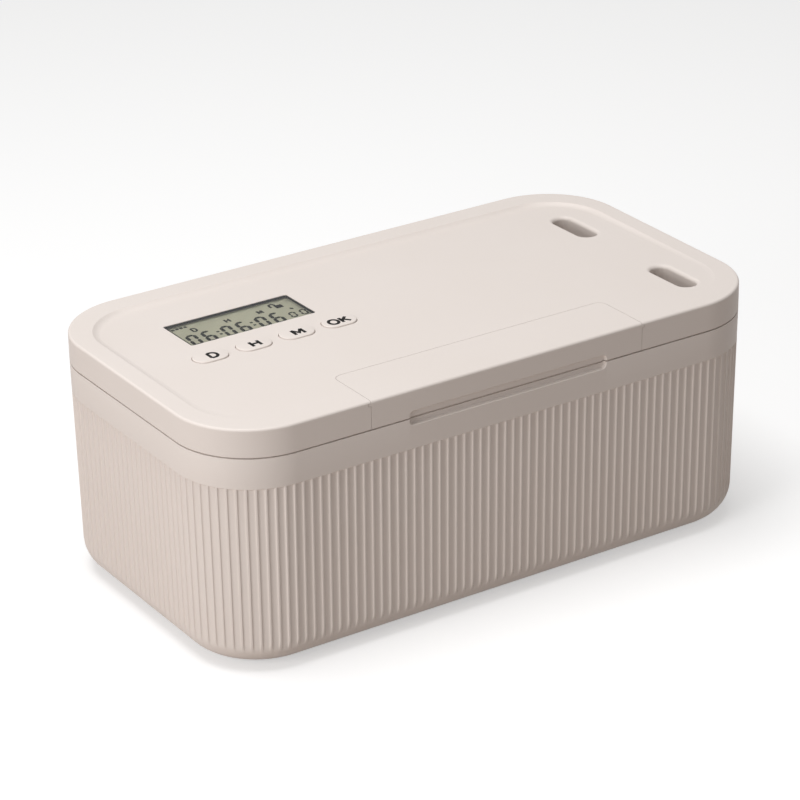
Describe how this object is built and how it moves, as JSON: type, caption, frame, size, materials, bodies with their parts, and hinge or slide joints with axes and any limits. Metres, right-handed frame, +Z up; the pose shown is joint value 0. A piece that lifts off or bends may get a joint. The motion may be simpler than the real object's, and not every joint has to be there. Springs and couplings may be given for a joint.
{
  "type": "timed lock box",
  "caption": "Ribbed rectangular box with a rear-hinged lid that holds a countdown display, keys, a battery bay and a motor-driven lock.",
  "frame": {"origin": "middle of the footprint, on the surface that the feet stand on", "axes": "+X along the box towards the cable slots, -Y to the front with the finger notch, +Z up"},
  "size_m": [0.22, 0.1208, 0.0884],
  "materials": {
    "abs_shell": "fine matt warm-white ABS",
    "abs_inner": "matt ABS inside",
    "steel": "plain zinc-plated steel",
    "rubber": "matt grey rubber",
    "clear_window": "clear polished acrylic",
    "lcd": "grey-green LCD with dark segments",
    "circuit_board": "green solder mask",
    "black_plastic": "moulded black resin",
    "acetal": "natural white acetal",
    "brass": "plain brass gearbox plates",
    "cell_wrap": "plain printed sleeve with no words",
    "lead_sleeve": "red vinyl insulation"
  },
  "bodies": {
    "tub": {"tub": "abs_shell", "foot_1": "rubber", "foot_2": "rubber", "foot_3": "rubber", "foot_4": "rubber", "strike_plate_left": "steel", "strike_plate_right": "steel", "strike_screw_1": "steel", "strike_screw_2": "steel", "strike_screw_3": "steel", "strike_screw_4": "steel", "hinge_pin": "steel"},
    "lid": {"lid_shell": "abs_shell", "inner_cover": "abs_inner", "cover_screw_1": "steel", "cover_screw_2": "steel", "cover_screw_3": "steel", "cover_screw_4": "steel", "cover_screw_5": "steel", "cover_screw_6": "steel", "display_window": "clear_window", "lcd_glass": "lcd", "lcd_frame": "abs_inner", "lcd_contact_strip": "rubber", "main_board": "circuit_board", "controller_chip": "black_plastic", "buzzer": "black_plastic", "key_d_switch": "black_plastic", "key_h_switch": "black_plastic", "key_m_switch": "black_plastic", "key_ok_switch": "black_plastic", "board_screw_1": "steel", "board_screw_2": "steel", "board_screw_3": "steel", "board_screw_4": "steel", "motor_gearbox": "brass", "motor_can": "steel", "motor_strap": "steel", "strap_screw_1": "steel", "strap_screw_2": "steel", "battery_cell_left": "cell_wrap", "battery_cell_right": "cell_wrap", "battery_contact_left": "steel", "battery_contact_right": "steel", "battery_lead_negative": "lead_sleeve", "battery_lead_positive": "lead_sleeve", "motor_leads": "lead_sleeve", "position_switch": "black_plastic"},
    "battery_door": {"battery_door": "abs_shell"},
    "key_d": {"key_d": "abs_shell"},
    "key_h": {"key_h": "abs_shell"},
    "key_m": {"key_m": "abs_shell"},
    "key_ok": {"key_ok": "abs_shell"},
    "lock_slider": {"lock_slider": "acetal"},
    "drive_pinion": {"drive_pinion": "acetal", "drive_shaft": "steel"}
  },
  "joints": [
    {"name": "lid_hinge", "type": "hinge", "parent": "tub", "child": "lid", "pos_m": [0, 0.0577, 0.0779], "axis": [-1, 0, 0], "range_deg": [0, 95]},
    {"name": "battery_door_slide", "type": "slide", "parent": "lid", "child": "battery_door", "axis": [0, -1, 0], "range_m": [0, 0.03]},
    {"name": "key_d_press", "type": "slide", "parent": "lid", "child": "key_d", "axis": [0, 0, -1], "range_m": [0, 0.0005], "stiffness_N_per_m": 1500},
    {"name": "key_h_press", "type": "slide", "parent": "lid", "child": "key_h", "axis": [0, 0, -1], "range_m": [0, 0.0005], "stiffness_N_per_m": 1500},
    {"name": "key_m_press", "type": "slide", "parent": "lid", "child": "key_m", "axis": [0, 0, -1], "range_m": [0, 0.0005], "stiffness_N_per_m": 1500},
    {"name": "key_ok_press", "type": "slide", "parent": "lid", "child": "key_ok", "axis": [0, 0, -1], "range_m": [0, 0.0005], "stiffness_N_per_m": 1500},
    {"name": "lock_slide", "type": "slide", "parent": "lid", "child": "lock_slider", "axis": [0, -1, 0], "range_m": [0, 0.005]},
    {"name": "pinion_turn", "type": "hinge", "parent": "lid", "child": "drive_pinion", "pos_m": [0.0123, -0.01175, 0.07928], "axis": [-1, 0, 0], "range_deg": [0, 59.7]}
  ],
  "couplings": [
    {"joint": "pinion_turn", "follows": "lock_slide", "rad_per_m": 208.33}
  ]
}
